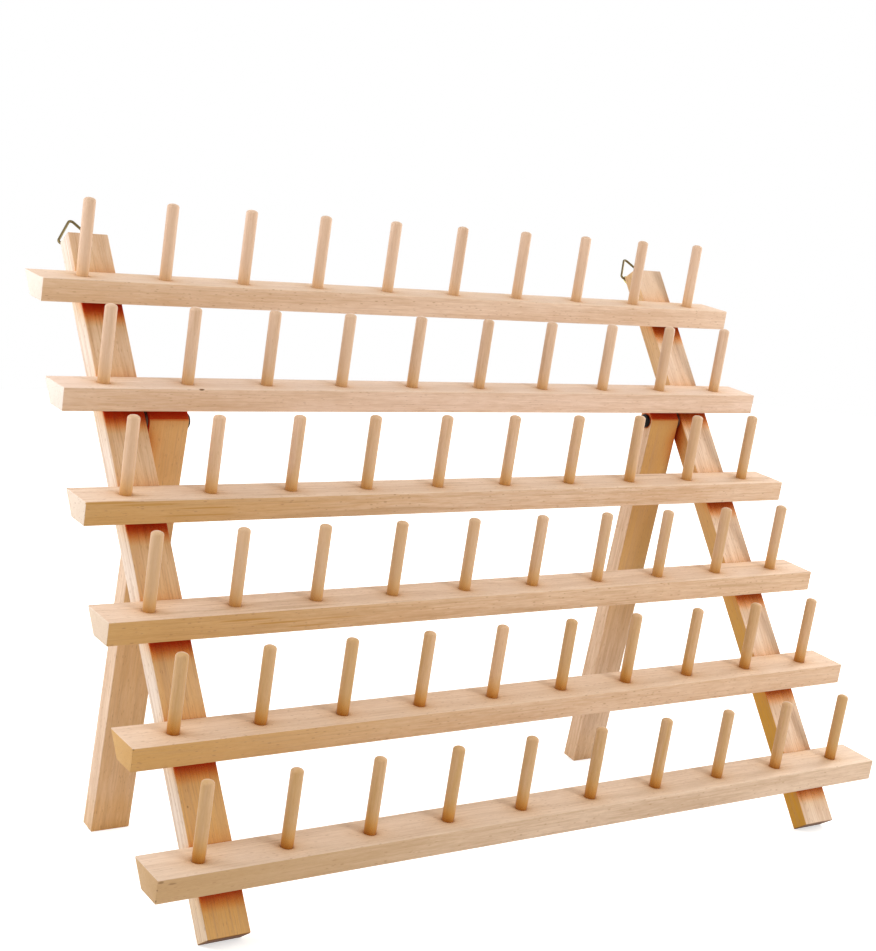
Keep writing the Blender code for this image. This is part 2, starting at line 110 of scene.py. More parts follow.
class Signal:
    """A shader value that Python's operators work on; each operator adds its Math node."""

    def __init__(self, graph: "Graph", socket: bpy.types.NodeSocket) -> None:
        """Wrap a socket.

        Args:
            graph: The graph that the socket is in.
            socket: An output socket with a single number.
        """
        self.graph = graph
        self.socket = socket

    def maths(self, operation: str, *values: Number) -> "Signal":
        """The result of one Math node, with its operands in order."""
        node = self.graph.node("ShaderNodeMath", {"operation": operation}, dict(enumerate(values)))
        return Signal(self.graph, node.outputs[0])

    def __add__(self, other: Number) -> "Signal":
        """The sum."""
        return self.maths("ADD", self, other)

    __radd__ = __add__

    def __sub__(self, other: Number) -> "Signal":
        """The difference."""
        return self.maths("SUBTRACT", self, other)

    def __rsub__(self, other: Number) -> "Signal":
        """The difference from a plain number."""
        return self.maths("SUBTRACT", other, self)

    def __mul__(self, other: Number) -> "Signal":
        """The product."""
        return self.maths("MULTIPLY", self, other)

    __rmul__ = __mul__

    def __truediv__(self, other: Number) -> "Signal":
        """The quotient."""
        return self.maths("DIVIDE", self, other)

    def __pow__(self, other: Number) -> "Signal":
        """The power."""
        return self.maths("POWER", self, other)

    def at_least(self, least: Number) -> "Signal":
        """The larger of this value and another one."""
        return self.maths("MAXIMUM", self, least)

    def fraction(self) -> "Signal":
        """What is left above the whole number below."""
        return self.maths("FRACT", self)

    def step_down(self, full: float, none: float) -> "Signal":
        """A smooth step between two values, whichever of them is the larger one.

        Args:
            full: The value at which the step is one, and past which it stays one.
            none: The value at which it is nothing, and past which it stays nothing.

        Returns:
            The mask.
        """
        sockets = {"Value": self, "From Min": full, "From Max": none, "To Min": 1.0, "To Max": 0.0}
        node = self.graph.node("ShaderNodeMapRange", {"interpolation_type": "SMOOTHSTEP"}, sockets)
        return Signal(self.graph, node.outputs["Result"])


class Graph:
    """The node tree of one material or of the world."""

    def __init__(self, tree: bpy.types.NodeTree) -> None:
        """Take over a tree and empty it.

        Args:
            tree: The node tree to build in.
        """
        self.tree = tree
        tree.nodes.clear()

    @classmethod
    def of_material(cls, name: str) -> tuple[bpy.types.Material, "Graph"]:
        """A new material and its empty graph.

        Args:
            name: The material's name.

        Returns:
            The material and the graph.
        """
        material = bpy.data.materials.new(name)
        material.use_nodes = True
        return material, cls(material.node_tree)

    def node(self, kind: str, settings: dict[str, Any] | None = None, sockets: dict | None = None) -> bpy.types.Node:
        """Add a node.

        Args:
            kind: The node's type.
            settings: Its own settings, set first.
            sockets: The value or link of each input, by name or number.

        Returns:
            The node.
        """
        made = self.tree.nodes.new(kind)
        for name, value in (settings or {}).items():
            setattr(made, name, value)
        for name, value in (sockets or {}).items():
            target = made.inputs[name]
            if isinstance(value, Signal):
                self.tree.links.new(value.socket, target)
            elif isinstance(value, bpy.types.NodeSocket):
                self.tree.links.new(value, target)
            elif isinstance(value, tuple) and target.type == "RGBA":
                target.default_value = (*value, 1.0)
            else:
                target.default_value = value
        return made

    def places(self) -> bpy.types.NodeSocket:
        """Each point's place in the rack's frame."""
        return self.node("ShaderNodeTexCoord").outputs["Object"]

    def vector(self, x: Number, y: Number, z: Number) -> bpy.types.NodeSocket:
        """Three numbers as one vector."""
        return self.node("ShaderNodeCombineXYZ", sockets={0: x, 1: y, 2: z}).outputs[0]

    def split(self, vector: bpy.types.NodeSocket) -> tuple[Signal, Signal, Signal]:
        """The three numbers of a vector."""
        outputs = self.node("ShaderNodeSeparateXYZ", sockets={0: vector}).outputs
        return Signal(self, outputs[0]), Signal(self, outputs[1]), Signal(self, outputs[2])

    def vector_maths(self, operation: str, first: bpy.types.NodeSocket, second: Triple) -> bpy.types.NodeSocket:
        """The result of one Vector Math node."""
        return self.node("ShaderNodeVectorMath", {"operation": operation}, {0: first, 1: second}).outputs[0]

    def length(self, vector: bpy.types.NodeSocket) -> Signal:
        """How long a vector is."""
        node = self.node("ShaderNodeVectorMath", {"operation": "LENGTH"}, {0: vector})
        return Signal(self, node.outputs["Value"])

    def noise(self, vector: bpy.types.NodeSocket, detail: float, roughness: float = 0.5) -> Signal:
        """Soft noise from 0 to 1, one blot to each unit of the vector; detail counts its finer layers."""
        sockets = {"Vector": vector, "Scale": 1.0, "Detail": detail, "Roughness": roughness}
        return Signal(self, self.node("ShaderNodeTexNoise", sockets=sockets).outputs[0])

    def mix(self, share: Number, first: Any, second: Any, blend: str = "MIX") -> bpy.types.NodeSocket:
        """Two colours, or their sockets, mixed; the share is the second one's."""
        settings = {"data_type": "RGBA", "blend_type": blend}
        return self.node("ShaderNodeMix", settings, {0: share, 6: first, 7: second}).outputs[2]

    def hidden(self, reach: float) -> Signal:
        """How shut in each point is by what stands within reach: nothing in the open, one in a deep corner."""
        node = self.node("ShaderNodeAmbientOcclusion", {"samples": 6}, {"Distance": reach})
        return 1.0 - Signal(self, node.outputs["AO"])

    def bump(self, height: Signal, strength: float, depth: float) -> bpy.types.NodeSocket:
        """The normals of a surface that is raised a little, by shares of a depth."""
        sockets = {"Height": height, "Strength": strength, "Distance": depth}
        return self.node("ShaderNodeBump", sockets=sockets).outputs["Normal"]

    def seeing_rays(self) -> Signal:
        """One for the rays by which the camera, gloss and glass see, and nothing for those of light.

        Returns:
            The mask.
        """
        ray = self.node("ShaderNodeLightPath").outputs
        camera, gloss, glass = (Signal(self, ray[f"Is {kind} Ray"]) for kind in ("Camera", "Glossy", "Transmission"))
        return camera.at_least(gloss).at_least(glass)

    def surface(self, **sockets: Any) -> None:
        """Finish the graph with one plain surface shader.

        Args:
            sockets: The shader's values or links, with _ in names for a space.
        """
        named = {name.replace("_", " "): value for name, value in sockets.items()}
        shader = self.node("ShaderNodeBsdfPrincipled", sockets=named)
        self.node("ShaderNodeOutputMaterial", sockets={"Surface": shader.outputs[0]})


# Finishes

# How often each pattern of the wood repeats in a metre: along the grain, across it and deep.
WAVE: Triple = (7.0, 30.0, 30.0)
CLOUD: Triple = (9.0, 170.0, 170.0)
BAND: Triple = (85.0, 900.0, 900.0)
FIBRE: Triple = (300.0, 3200.0, 3200.0)
STREAK: Triple = (32.0, 1500.0, 1500.0)
# How often the rings' strength changes in a metre, along the grain and outwards from the pith.
RING_FADE: Span = (8.0, 150.0)
# The size of one ray fleck's cell along the grain, towards the pith and round it.
FLECK_CELL: Triple = (0.0042, 0.0013, 0.00072)
# How far along the board a piece may be cut, either way.
BOARD_REACH = 0.4
# How far a peg's own stock lies from the next one's, along the grain and across it.
STOCK_SHIFT: Span = (0.9, 0.03)
# Where the noise turns into dark figure and into dark streaks.
FIGURE_STEP: Span = (0.34, 0.46)
STREAK_STEP: Span = (0.33, 0.48)
# How much of the dark grain shows on an end painted with light and shade: the rails' pale left ends and the front legs'
# dark feet.
END_LIGHTING_GRAIN = 0.2
# Where the painted shade on a leg's face grows, from its top to its foot.
FACE_LIGHTING_GAIN_SPAN: Span = (-0.16, 0.14)
# The painted corner shade where wood faces wood: its golden tone, its orange one and the dark painted shadow at the
# joint itself: how far each reaches from the wood that faces it, how fast it gathers and the power that keeps it to the
# corner.
CORNER_SHADE_REACH, CORNER_SHADE_POWER = 0.022, 1.6
DEEP_SHADE_REACH, DEEP_SHADE_GAIN, DEEP_SHADE_POWER = 0.011, 2.7, 1.8
JOINT_SHADE_GAIN, JOINT_SHADE_POWER = 0.76, 7.0
# The heights over which the floor, and no wood, is what is near, and the golden painted shade's share there.
NEAR_FLOOR: Span = (0.006, 0.016)
FLOOR_SHADE_SHARE = 0.4
# Sanded wood: how dull it is, its gloss, how its fuzz spreads, and its fibres' strength and depth.
WOOD_ROUGHNESS, WOOD_GLOSS, FUZZ_SPREAD = 0.60, 0.16, 0.3
FIBRE_STRENGTH, FIBRE_DEPTH = 0.3, 0.00010


@dataclass(frozen=True)
class Mark:
    """A small dark mark in the wood: its place and its half sizes in the rack's frame."""

    place: Triple
    reach: Triple
    depth: float = 0.6
    tone: Tone = (0.20, 0.10, 0.04)


class Board:
    """The board that a piece is cut from, with places along its grain, across it and deep in it."""

    def __init__(self, graph: Graph, wood: "Beech", centre: Vector) -> None:
        """Lay the board round a piece, in the piece's own frame.

        Args:
            graph: The material's graph.
            wood: The piece's finish.
            centre: The piece's own place in the rack's frame.
        """
        self.graph = graph
        self.place = graph.places()
        sockets = {"Vector": self.place, "Location": tuple(centre), "Rotation": (wood.lean, 0.0, 0.0)}
        turned = graph.node("ShaderNodeMapping", {"vector_type": "TEXTURE"}, sockets)
        x, y, z = graph.split(turned.outputs[0])
        self.along, self.across, self.deep = (x, y, z) if wood.along is Grain.ALONG_X else (z, y, x)
        self.grain = self.along + random.Random(wood.name).uniform(-BOARD_REACH, BOARD_REACH)
        self.stock = Signal(graph, graph.node("ShaderNodeAttribute", {"attribute_name": "stock"}).outputs["Fac"])
        if wood.stock_share:
            grain_shift, across_shift = STOCK_SHIFT
            self.grain += self.stock * grain_shift
            self.across += self.stock * across_shift
        wander = (self.blots(WAVE, 1.0) - 0.5) * wood.wander
        east = self.across - wood.pith[0] + wander
        north = self.deep - wood.pith[1] - wander
        self.radius = (east * east + north * north) ** 0.5
        self.turn = east.maths("ARCTAN2", east, north) * math.hypot(*wood.pith)

    def blots(self, often: Triple, detail: float, roughness: float = 0.5) -> Signal:
        """Soft noise that follows the grain.

        Args:
            often: How often it repeats in a metre along the grain, across it and deep.
            detail: How many finer layers are added.
            roughness: How strong they are.

        Returns:
            The noise, from 0 to 1.
        """
        along, across, deep = often
        cells = self.graph.vector(self.grain * along, self.across * across, self.deep * deep)
        return self.graph.noise(cells, detail, roughness)

    def late_wood(self, spacing: float) -> Signal:
        """The dark late wood at the outer edge of each year's ring."""
        cycle = (self.radius / spacing).fraction()
        return cycle**3.0 * cycle.step_down(0.90, 1.0)

    def ring_strength(self) -> Signal:
        """How strongly the rings show at each place, so that many of them fade out.

        Returns:
            The strength.
        """
        along, outwards = RING_FADE
        strength = self.graph.noise(self.graph.vector(self.grain * along, self.radius * outwards, 0.0), 1.0)
        return (strength * 3.2 - 1.1).at_least(0.0)

    def ray_flecks(self) -> Signal:
        """The short dark rays, each of its own size.

        Returns:
            The mask.
        """
        along, inwards, around = FLECK_CELL
        cells = self.graph.vector(self.grain / along, self.radius / inwards, self.turn / around)
        rays = self.graph.node("ShaderNodeTexVoronoi", {"feature": "F1"}, {"Vector": cells, "Scale": 1.0})
        lot, _, _ = self.graph.split(rays.outputs["Color"])
        return (Signal(self.graph, rays.outputs["Distance"]) + lot * 0.16).step_down(0.14, 0.30)

    def mark_mask(self, mark: Mark) -> Signal:
        """How dark a mark is at each place; it fades out towards its rim.

        Args:
            mark: The mark.

        Returns:
            The mask.
        """
        away = self.graph.vector_maths("SUBTRACT", self.place, mark.place)
        share = self.graph.vector_maths("DIVIDE", away, mark.reach)
        return self.graph.length(share).step_down(0.45, 1.0) * mark.depth


@dataclass(frozen=True)
class Beech:
    """Bare sanded beech, cut from its own board for each piece.

    The rings run round a pith far outside the piece, and the ray flecks are long up the grain, deep
    towards the pith and thin round it, so faces, edges and end grain differ as they do in the wood.
    A share is how strongly a tone or a pattern shows. A span is where a tone goes from full to nothing: the painted
    shade's and the end's along the grain, the face's deep in the piece. The painted shade tone, the face tone, the end
    tone and the corner tones are painted light and shade.
    """

    name: str
    lean: float
    along: Grain
    pith: tuple[float, float] = (0.080, 0.022)
    pale: Tone = (0.84, 0.63, 0.46)
    tan: Tone = (0.70, 0.475, 0.31)
    late: Tone = (0.50, 0.30, 0.17)
    fleck: Tone = (0.40, 0.21, 0.10)
    ring_spacing: float = 0.0031
    ring_share: float = 0.48
    fleck_share: float = 0.55
    cloud_share: float = 2.6
    band_share: float = 2.25
    streak_share: float = 0.22
    figure_share: float = 0.0
    stock_share: float = 0.0
    wander: float = 0.006
    # Painted shade: a darker, warmer tone over a span along the grain, such as the rails' left fronts, parts of the
    # legs and the dowels' feet.
    heart: Tone = (0.70, 0.41, 0.145)
    heart_share: float = 0.0
    heart_span: Span = (-0.20, 0.02)
    # Painted light and shade on one face: paler with light on the rails' tops and the left legs' left sides, darker
    # with shade on the right front leg's left side.
    face: Tone = (0.92, 0.75, 0.62)
    face_share: float = 0.0
    face_gain: float = 0.0
    face_span: Span = (-0.00015, -0.00035)
    # Painted light and shade at one end: the upper rails' left ends paler with light, the front legs' feet dark with
    # shade.
    end: Tone = (0.94, 0.88, 0.82)
    end_share: float = 0.0
    end_span: Span = (-0.20192, -0.20180)
    # Painted shade where wood faces wood: a golden tone, an orange one deeper in and a dark painted shadow at the
    # joint, with their shares.
    corner: Tone = (0.95, 0.68, 0.04)
    corner_share: float = 1.7
    deep_corner: Tone = (0.92, 0.42, 0.0)
    darkest_corner: Tone = (0.80, 0.12, 0.02)
    deep_share: float = 0.0
    sheen: float = 0.0
    marks: tuple[Mark, ...] = ()

    def material(self, centre: Vector) -> bpy.types.Material:
        """The finish as a material of its own.

        Args:
            centre: The piece's own place in the rack's frame, which its board is laid round.

        Returns:
            The material.
        """
        material, graph = Graph.of_material(self.name)
        board = Board(graph, self, centre)
        fibre = board.blots(FIBRE, 2.0, 0.6)
        fleck = board.ray_flecks()
        late = board.late_wood(self.ring_spacing)
        fibre_tone = (fibre - 0.5) * 0.5 + 0.12
        height = fibre * 0.6 - fleck * 0.35 - late * 0.2
        colour = graph.mix(fibre_tone, self.grained(board, late), self.tan, "MULTIPLY")
        colour = graph.mix(fleck * self.fleck_share, colour, self.fleck)
        if self.stock_share:
            colour = graph.mix(board.stock * self.stock_share, colour, self.tan)
        for mark in self.marks:
            colour = graph.mix(board.mark_mask(mark), colour, mark.tone)
        graph.surface(
            Base_Color=self.cornered(board, colour),
            Roughness=WOOD_ROUGHNESS + (fibre - 0.5) * 0.16 - fleck * 0.10,
            Normal=graph.bump(height, FIBRE_STRENGTH, FIBRE_DEPTH),
            Specular_IOR_Level=WOOD_GLOSS,
            Sheen_Weight=self.sheen,
            Sheen_Roughness=FUZZ_SPREAD,
        )
        return material

    def grained(self, board: Board, late: Signal) -> bpy.types.NodeSocket:
        """The board's own tones with its rings, its figure and its streaks, and its painted light and shade along the
        grain, on its face and at its end.

        Args:
            board: The board.
            late: The late wood of its rings.

        Returns:
            The colour.
        """
        graph = board.graph
        cloud = board.blots(CLOUD, 2.0, 0.55)
        band = board.blots(BAND, 2.0, 0.6)
        tone = 0.5 + (cloud - 0.5) * self.cloud_share + (band - 0.5) * self.band_share
        # The face's painted light and shade.
        face = board.deep.step_down(*self.face_span)
        # The painted shade along the grain, kept off the face.
        heart = board.along.step_down(*self.heart_span) * (1.0 - face)
        face_lighting = board.along.step_down(*FACE_LIGHTING_GAIN_SPAN) * self.face_gain + self.face_share
        # The end's painted light and shade.
        end_lighting = board.along.step_down(*self.end_span)
        colour = graph.mix(tone, self.pale, self.tan)
        colour = graph.mix(heart * self.heart_share, colour, self.heart)
        colour = graph.mix(face * face_lighting, colour, self.face)
        colour = graph.mix(end_lighting * self.end_share, colour, self.end)
        patterns = [(late * board.ring_strength(), self.ring_share)]
        if self.figure_share:
            patterns.append((cloud.step_down(*FIGURE_STEP), self.figure_share))
        if self.streak_share:
            patterns.append((board.blots(STREAK, 1.0).step_down(*STREAK_STEP), self.streak_share))
        plain = 1.0 - end_lighting * (1.0 - END_LIGHTING_GRAIN)
        for pattern, share in patterns:
            colour = graph.mix(pattern * plain * share, colour, self.late)
        return colour

    def cornered(self, board: Board, colour: bpy.types.NodeSocket) -> bpy.types.NodeSocket:
        """Paint shade into a colour where wood faces wood: gold at first, then orange, and dark at the joint itself.

        Args:
            board: The board.
            colour: The colour.

        Returns:
            The colour with its painted shade.
        """
        graph = board.graph
        _, _, height = graph.split(board.place)
        above = 1.0 - height.step_down(*NEAR_FLOOR)
        # Painted shade: the golden tone where wood stands near, weaker close to the floor.
        near = graph.hidden(CORNER_SHADE_REACH) ** CORNER_SHADE_POWER * (above * (1.0 - FLOOR_SHADE_SHARE) + FLOOR_SHADE_SHARE)
        colour = graph.mix(near * self.corner_share, colour, self.corner, "MULTIPLY")
        if not self.deep_share:
            return colour
        # Painted shade: the orange tone deeper in, then a dark painted shadow right at the joint.
        deep_shade_mask = graph.hidden(DEEP_SHADE_REACH) * DEEP_SHADE_GAIN * above
        colour = graph.mix(deep_shade_mask**DEEP_SHADE_POWER * self.deep_share, colour, self.deep_corner, "MULTIPLY")
        joint = (deep_shade_mask * JOINT_SHADE_GAIN) ** JOINT_SHADE_POWER
        return graph.mix(joint * self.deep_share, colour, self.darkest_corner, "MULTIPLY")


@dataclass(frozen=True)
class Metal:
    """Plated or blackened metal with fine rubbing marks and a few duller clouds."""

    name: str
    bright: Tone
    dull: Tone
    roughness: float
    metallic: float = 1.0
    clouds_often: float = 220.0
    rubs_often: Triple = (700.0, 700.0, 700.0)
    rub_strength: float = 0.12
    rub_depth: float = 0.00004

    def material(self) -> bpy.types.Material:
        """The finish as a material.

        Returns:
            The material.
        """
        material, graph = Graph.of_material(self.name)
        axes = graph.split(graph.places())
        cloud = graph.noise(graph.vector(*(axis * self.clouds_often for axis in axes)), 2.0)
        rub = graph.noise(graph.vector(*(axis * often for axis, often in zip(axes, self.rubs_often))), 3.0, 0.65)
        graph.surface(
            Base_Color=graph.mix((cloud - 0.35) * 1.6, self.bright, self.dull),
            Roughness=self.roughness + (rub - 0.5) * 0.14 + (cloud - 0.5) * 0.10,
            Metallic=self.metallic,
            Normal=graph.bump(rub, self.rub_strength, self.rub_depth),
        )
        return material


BRASS = Metal("bright_brass", (0.66, 0.55, 0.20), (0.55, 0.44, 0.15), 0.24, rubs_often=(2600.0, 300.0, 300.0))
# The ring's brass is painted dark: a painted reflection of dark surroundings.
WIRE_BRASS_PAINTED_DARK = Metal("brass_wire", (0.17, 0.125, 0.05), (0.09, 0.065, 0.03), 0.30)
ZINC = Metal("bright_zinc", (0.66, 0.66, 0.68), (0.50, 0.50, 0.53), 0.26)
BLACK = Metal("black_oxide", (0.010, 0.009, 0.009), (0.018, 0.017, 0.016), 0.42, metallic=0.9)
# The washer is painted dark red-brown with the shade of the gap between the legs.
GAP_SHADE_WASHER = Metal("browned_oxide", (0.085, 0.030, 0.014), (0.050, 0.020, 0.010), 0.60, metallic=0.2)


# Shaping


def of_kind(kind: type, elements: Iterable[Any]) -> list[Any]:
    """The corners or the edges alone, among all that an operator gives back."""
    return [element for element in elements if isinstance(element, kind)]


def put_in_scene(name: str, data: bpy.types.ID) -> bpy.types.Object:
    """Make an object of a mesh, a lamp or a camera and link it to the scene.

    Args:
        name: The object's name.
        data: What it shows.

    Returns:
        The object.
    """
    made = bpy.data.objects.new(name, data)
    bpy.context.scene.collection.objects.link(made)
    return made


class Blank:
    """A mesh in the making, shaped in its own frame and placed on the rack when it is finished."""

    def __init__(self) -> None:
        """Start with nothing."""
        self.shape = bmesh.new()

    @classmethod
    def box(cls, low: Sequence[float], high: Sequence[float]) -> "Blank":
        """A box between two corners.

        Args:
            low: Its lowest corner.
            high: Its highest corner.

        Returns:
            The box.
        """
        made = cls()
        size = Vector(high) - Vector(low)
        centre = (Vector(high) + Vector(low)) / 2
        place = Matrix.Translation(centre) @ Matrix.Diagonal((*size, 1.0))
        bmesh.ops.create_cube(made.shape, size=1.0, matrix=place)
        return made

    @classmethod
    def turned(cls, profile: Sequence[tuple[float, float]], facets: int) -> "Blank":
        """A solid turned about Z.

        Args:
            profile: Its (radius, height) points, from end to end.
            facets: How many facets it has all round.

        Returns:
            The solid.
        """
        made = cls()
        points = [made.shape.verts.new((radius, 0.0, height)) for radius, height in profile]
        edges = [made.shape.edges.new(pair) for pair in zip(points, points[1:])]
        whole = points + edges
        bmesh.ops.spin(
            made.shape, geom=whole, cent=(0, 0, 0), axis=(0, 0, 1), angle=math.tau, steps=facets, use_merge=True
        )
        return made.closed()

    def closed(self) -> "Blank":
        """Weld seams and poles and point the faces outwards.

        Returns:
            This blank.
        """
        bmesh.ops.remove_doubles(self.shape, verts=self.shape.verts, dist=WELD)
        bmesh.ops.dissolve_degenerate(self.shape, edges=self.shape.edges, dist=WELD / 10)
        bmesh.ops.recalc_face_normals(self.shape, faces=self.shape.faces)
        return self

    def moved(self, matrix: Matrix) -> "Blank":
        """Move, turn or scale the whole mesh."""
        bmesh.ops.transform(self.shape, matrix=matrix, verts=self.shape.verts)
        return self

    def add(self, other: "Blank") -> "Blank":
        """Take in another blank's mesh and empty that blank.

        Args:
            other: The other blank.

        Returns:
            This blank.
        """
        mesh = other.mesh("part")
        self.shape.from_mesh(mesh)
        bpy.data.meshes.remove(mesh)
        return self

    def eased(self, width: float, segments: int = 3, sharper_than: float = math.radians(30)) -> "Blank":
        """Round the sharp edges.

        Args:
            width: How far the rounding reaches on each face.
            segments: Its facets.
            sharper_than: The least angle of an edge that is rounded.

        Returns:
            This blank.
        """
        edges = [e for e in self.shape.edges if e.is_manifold and e.calc_face_angle() > sharper_than]
        bmesh.ops.bevel(
            self.shape, geom=edges, offset=width, offset_type="OFFSET", segments=segments, profile=0.5,
            affect="EDGES", clamp_overlap=True, material=-1,
        )
        return self

    def cut(self, cutter: "Blank", operation: str = "DIFFERENCE") -> "Blank":
        """Cut this blank with another one, which is used up.

        Args:
            cutter: The shape of the cut.
            operation: DIFFERENCE or INTERSECT.

        Returns:
            A new blank.
        """
        piece = put_in_scene("piece", self.mesh("piece"))
        tool = put_in_scene("cutter", cutter.mesh("cutter"))
        cutting = piece.modifiers.new("cut", "BOOLEAN")
        cutting.operation = operation
        cutting.solver = "EXACT"
        cutting.object = tool
        graph = bpy.context.evaluated_depsgraph_get()
        mesh = bpy.data.meshes.new_from_object(piece.evaluated_get(graph))
        made = Blank()
        made.shape.from_mesh(mesh)
        for used in (piece.data, tool.data, mesh):
            bpy.data.meshes.remove(used)
        return made

    def mesh(self, name: str) -> bpy.types.Mesh:
        """Hand over the mesh and use up the blank.

        Args:
            name: The mesh's name.

        Returns:
            The mesh.
        """
        made = bpy.data.meshes.new(name)
        self.shape.to_mesh(made)
        self.shape.free()
        return made


def finish_piece(
    name: str, blank: Blank, place: Matrix, look: bpy.types.Material, node: str, body: str = "rack"
) -> None:
    """Put a finished mesh on the rack as a piece of its own.

    Args:
        name: The piece's name.
        blank: Its mesh, in its own frame.
        place: Where that frame is on the rack.
        look: Its material.
        node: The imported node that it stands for.
        body: The body that it moves with.
    """
    mesh = blank.moved(place).mesh(name)
    mesh.shade_smooth()
    mesh.set_sharp_from_angle(angle=SMOOTH_ANGLE)
    mesh.materials.append(look)
    piece = put_in_scene(name, mesh)
    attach(piece, body)
    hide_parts(node)
    LOG.info("%s rides on %s, %d faces", name, body, len(mesh.polygons))


def dress_node(name: str, look: bpy.types.Material) -> None:
    """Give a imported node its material.

    Args:
        name: The node's name.
        look: The material.
    """
    node = frame["nodes"][name]
    node.data.materials.clear()
    node.data.materials.append(look)
    LOG.info("%s is dressed in %s", name, look.name)


def box_centre(name: str) -> Vector:
    """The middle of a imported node's box."""
    low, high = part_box(name)
    return (low + high) / 2


def leaning_at(place: Vector) -> Matrix:
    """The frame of the leaning front legs, moved to a place: +Z up the legs and +Y out of their backs."""
    return Matrix.Translation(place) @ Matrix.Rotation(-FRONT_LEAN, 4, "X")


def joint_place(name: str) -> Vector:
    """The point that a joint turns about."""
    return Vector(next(joint for joint in frame["joints"] if joint["name"] == name)["pos_m"])


# Rails and pegs


@dataclass
class PegRail:
    """One rail with its ten glued pegs; its frame has the top-back edge on X and the top face in Z = 0."""

    row: int
    wood: Beech
    dowel: Beech
    width: float = 0.0212
    thickness: float = 0.0102
    arris: float = 0.0004
    peg_count: int = 10
    peg_pitch: float = 0.0400
    peg_radius: float = 0.00275
    peg_height: float = 0.0345
    peg_seat: float = 0.0070
    peg_chamfer: float = 0.0004
    peg_facets: int = 24
    peg_setback: float = 0.0113
    dome_height: float = 0.0015
    dome_rings: int = 5
    bore_gap: float = 0.00006
    bore_mouth: float = 0.00022
    bore_facets: int = 28
    pilot_radius: float = 0.0018
    pilot_depth: float = 0.0075
    pilot_start: float = 0.0020
    pilot_facets: int = 20
    place: Matrix = field(init=False)
    half_length: float = field(init=False)

    def __post_init__(self) -> None:
        """Find the rail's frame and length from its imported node."""
        low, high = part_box(self.node)
        sine, cosine = math.sin(PEG_LEAN), math.cos(PEG_LEAN)
        edge_y = low.y + self.width * cosine - self.arris * sine
        edge_z = low.z + self.width * sine + self.thickness * cosine - self.arris * sine
        self.place = Matrix.Translation((0.0, edge_y, edge_z)) @ Matrix.Rotation(PEG_LEAN, 4, "X")
        self.half_length = high.x

    @property
    def node(self) -> str:
        """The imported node's name."""
        return f"peg_rail_{self.row}"

    @property
    def peg_places(self) -> list[Vector]:
        """The pegs' places on the top face, from left to right."""
        middle = (self.peg_count - 1) / 2
        return [Vector(((i - middle) * self.peg_pitch, -self.peg_setback, 0.0)) for i in range(self.peg_count)]

    def bare_rail(self) -> Blank:
        """The rail before it is bored, its back ripped on the bevel that meets the leaning leg.

        Returns:
            The rail.
        """
        low = (-self.half_length, -self.width, -self.thickness)
        rail = Blank.box(low, (self.half_length, 0.0, 0.0))
        bevel = FRONT_LEAN + PEG_LEAN
        normal = (0.0, math.cos(bevel), -math.sin(bevel))
        whole = rail.shape.verts[:] + rail.shape.edges[:] + rail.shape.faces[:]
        cut = bmesh.ops.bisect_plane(rail.shape, geom=whole, plane_co=(0, 0, 0), plane_no=normal, clear_outer=True)
        bmesh.ops.holes_fill(rail.shape, edges=of_kind(BMEdge, cut["geom_cut"]), sides=0)
        return rail.closed().eased(self.arris)

    def bore(self) -> Blank:
        """The cutter of one blind peg hole, with its softened mouth.

        Returns:
            The cutter.
        """
        radius = self.peg_radius + self.bore_gap
        floor = -self.peg_seat - self.bore_gap
        mouth = radius + self.bore_mouth
        profile = [(0.0, mouth), (mouth * 2 - radius, mouth), (radius, -self.bore_mouth), (radius, floor), (0.0, floor)]
        return Blank.turned(profile, self.bore_facets)

    def pilot(self, side: Side) -> Blank:
        """The cutter of the hole that a rail screw bites in, from the back along the leg's normal.

        Args:
            side: The side of the rack.

        Returns:
            The cutter.
        """
        wide, deep = self.pilot_radius, -self.pilot_depth
        profile = [(0.0, self.pilot_start), (wide, self.pilot_start), (wide, deep), (0.0, deep)]
        head = RailScrew.head_place(side, self.row)
        face = leaning_at(head) @ Matrix.Translation((0.0, -LEG_THICKNESS, 0.0)) @ FACING_BACK
        return Blank.turned(profile, self.pilot_facets).moved(self.place.inverted() @ face)

    def peg(self, number: int) -> Blank:
        """One turned dowel peg with a rounded top.

        Args:
            number: The peg's number along the row.

        Returns:
            The peg, with its stock shade on every vertex.
        """
        radius, foot, chamfer = self.peg_radius, -self.peg_seat, self.peg_chamfer
        profile = [(0.0, self.peg_height)]
        for ring in range(1, self.dome_rings + 1):
            turn = ring / self.dome_rings * math.pi / 2
            drop = self.dome_height * (1 - math.cos(turn))
            profile.append((radius * math.sin(turn), self.peg_height - drop))
        profile += [(radius, foot + chamfer), (radius - chamfer, foot), (0.0, foot)]
        peg = Blank.turned(profile, self.peg_facets)
        shade = random.Random(f"peg {self.row} {number}").random()
        layer = peg.shape.verts.layers.float.new("stock")
        for point in peg.shape.verts:
            point[layer] = shade
        return peg

    def build(self) -> None:
        """Make the rail and its row of pegs, and dress them."""
        bores, pegs = Blank(), Blank()
        for number, spot in enumerate(self.peg_places, 1):
            bores.add(self.bore().moved(Matrix.Translation(spot)))
            pegs.add(self.peg(number).moved(Matrix.Translation(spot)))
        for side in Side:
            bores.add(self.pilot(side))
        rail = self.bare_rail().cut(bores)
        centre = self.place.translation
        for kind, blank, wood in (("rail", rail, self.wood), ("pegs", pegs, self.dowel)):
            finish_piece(f"{kind}_{self.row}", blank, self.place, wood.material(centre), self.node)


# Legs


class Leg(Enum):
    """The two kinds of leg."""

    FRONT = "front"
    REAR = "rear"


@dataclass
class Legs:
    """A pair of legs, one on each side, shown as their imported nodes."""

    kind: Leg
    woods: dict[Side, Beech]

    def build(self) -> None:
        """Dress both legs."""
        for side, wood in self.woods.items():
            name = f"{side.label}_{self.kind.value}_leg"
            dress_node(name, wood.material(box_centre(name)))


# Screws

